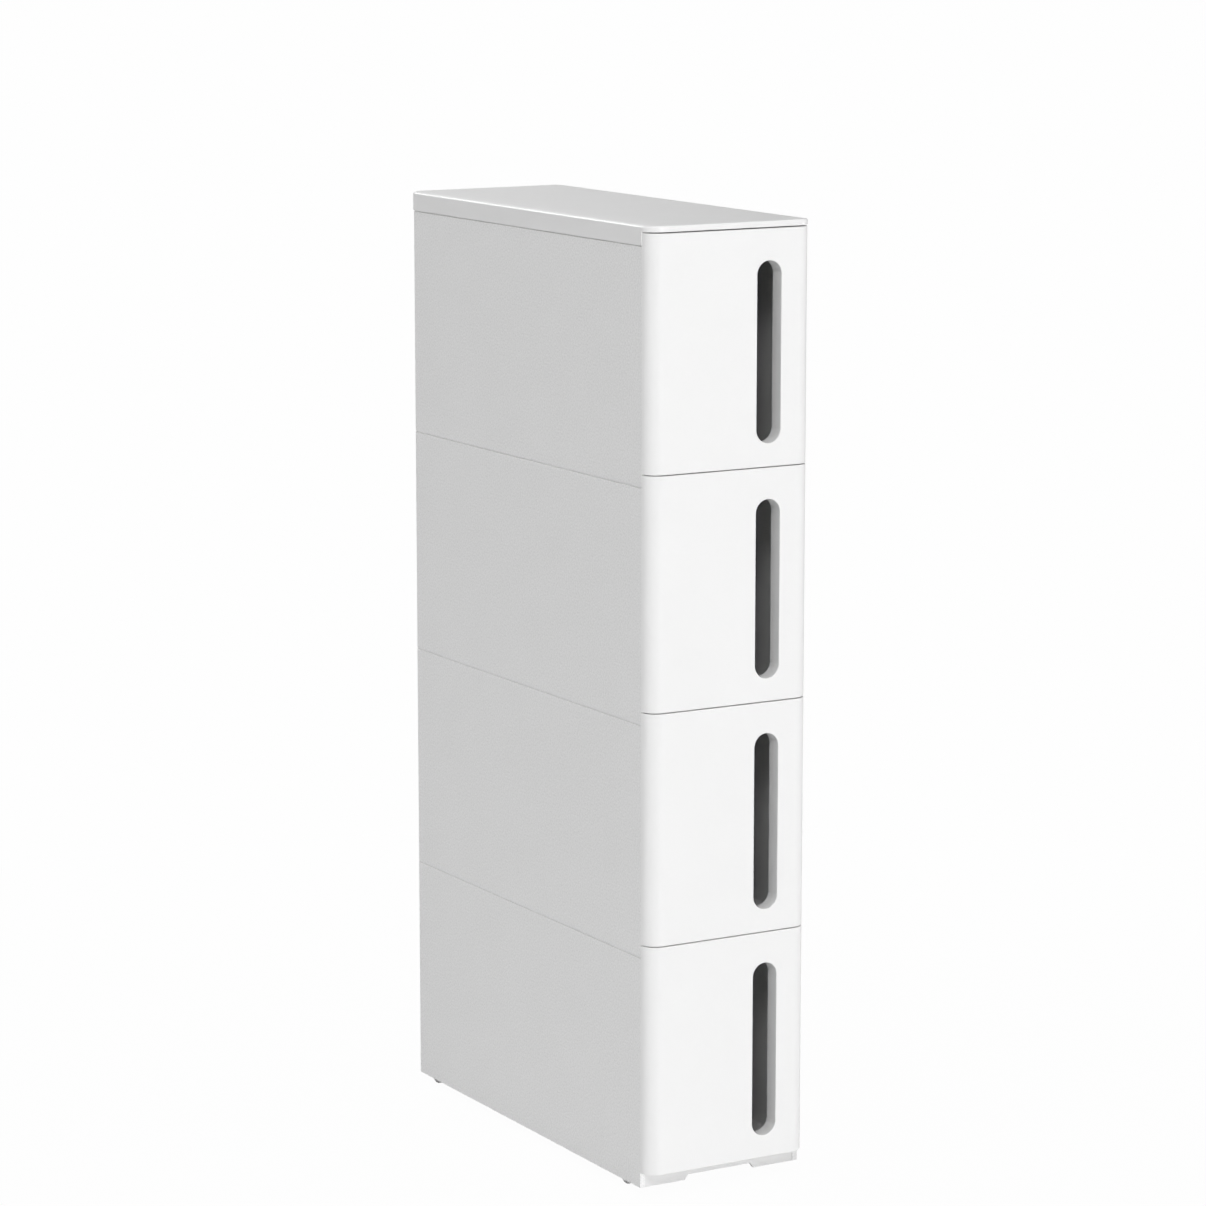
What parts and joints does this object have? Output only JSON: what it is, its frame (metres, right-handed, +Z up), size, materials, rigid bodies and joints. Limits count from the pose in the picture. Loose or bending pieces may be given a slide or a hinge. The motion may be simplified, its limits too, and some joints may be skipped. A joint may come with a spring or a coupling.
{
  "type": "plastic drawer tower",
  "caption": "Slim upright tower of stacked plastic casings with flush sliding drawers, upright finger slots, a flat lid and small rollers.",
  "frame": {"origin": "on the floor below the middle of the tower's box", "axes": "+Z up, drawer fronts facing -Y, +X to the right seen from the front"},
  "size_m": [0.1612, 0.4306, 0.8368],
  "materials": {
    "white_shell": "satin",
    "white_front": "satin",
    "white_bin": "satin",
    "white_lid": "satin",
    "white_plinth": "satin",
    "grey_housing": "satin",
    "grey_roller": "satin",
    "axle_steel": "drawn"
  },
  "bodies": {
    "tower": {"top_cover": "white_lid", "casing_1": "white_shell", "casing_2": "white_shell", "casing_3": "white_shell", "casing_4": "white_shell", "base_plinth": "white_plinth", "caster_housing_front_left": "grey_housing", "caster_housing_front_right": "grey_housing", "caster_housing_back_left": "grey_housing", "caster_housing_back_right": "grey_housing", "caster_axle_front_left": "axle_steel", "caster_axle_front_right": "axle_steel", "caster_axle_back_left": "axle_steel", "caster_axle_back_right": "axle_steel"},
    "drawer_1": {"drawer_box_1": "white_bin", "drawer_front_1": "white_front"},
    "drawer_2": {"drawer_box_2": "white_bin", "drawer_front_2": "white_front"},
    "drawer_3": {"drawer_box_3": "white_bin", "drawer_front_3": "white_front"},
    "drawer_4": {"drawer_box_4": "white_bin", "drawer_front_4": "white_front"},
    "wheel_front_left": {"caster_wheel_front_left": "grey_roller"},
    "wheel_front_right": {"caster_wheel_front_right": "grey_roller"},
    "wheel_back_left": {"caster_wheel_back_left": "grey_roller"},
    "wheel_back_right": {"caster_wheel_back_right": "grey_roller"}
  },
  "joints": [
    {"name": "drawer_1_slide", "type": "slide", "parent": "tower", "child": "drawer_1", "axis": [0, -1, 0], "range_m": [0, 0.3062]},
    {"name": "drawer_2_slide", "type": "slide", "parent": "tower", "child": "drawer_2", "axis": [0, -1, 0], "range_m": [0, 0.3062]},
    {"name": "drawer_3_slide", "type": "slide", "parent": "tower", "child": "drawer_3", "axis": [0, -1, 0], "range_m": [0, 0.3062]},
    {"name": "drawer_4_slide", "type": "slide", "parent": "tower", "child": "drawer_4", "axis": [0, -1, 0], "range_m": [0, 0.3062]},
    {"name": "wheel_front_left_spin", "type": "hinge", "parent": "tower", "child": "wheel_front_left", "pos_m": [-0.0665, -0.1613, 0.01], "axis": [1, 0, 0], "continuous": true},
    {"name": "wheel_front_right_spin", "type": "hinge", "parent": "tower", "child": "wheel_front_right", "pos_m": [0.0665, -0.1613, 0.01], "axis": [1, 0, 0], "continuous": true},
    {"name": "wheel_back_left_spin", "type": "hinge", "parent": "tower", "child": "wheel_back_left", "pos_m": [-0.0665, 0.1907, 0.01], "axis": [1, 0, 0], "continuous": true},
    {"name": "wheel_back_right_spin", "type": "hinge", "parent": "tower", "child": "wheel_back_right", "pos_m": [0.0665, 0.1907, 0.01], "axis": [1, 0, 0], "continuous": true}
  ]
}
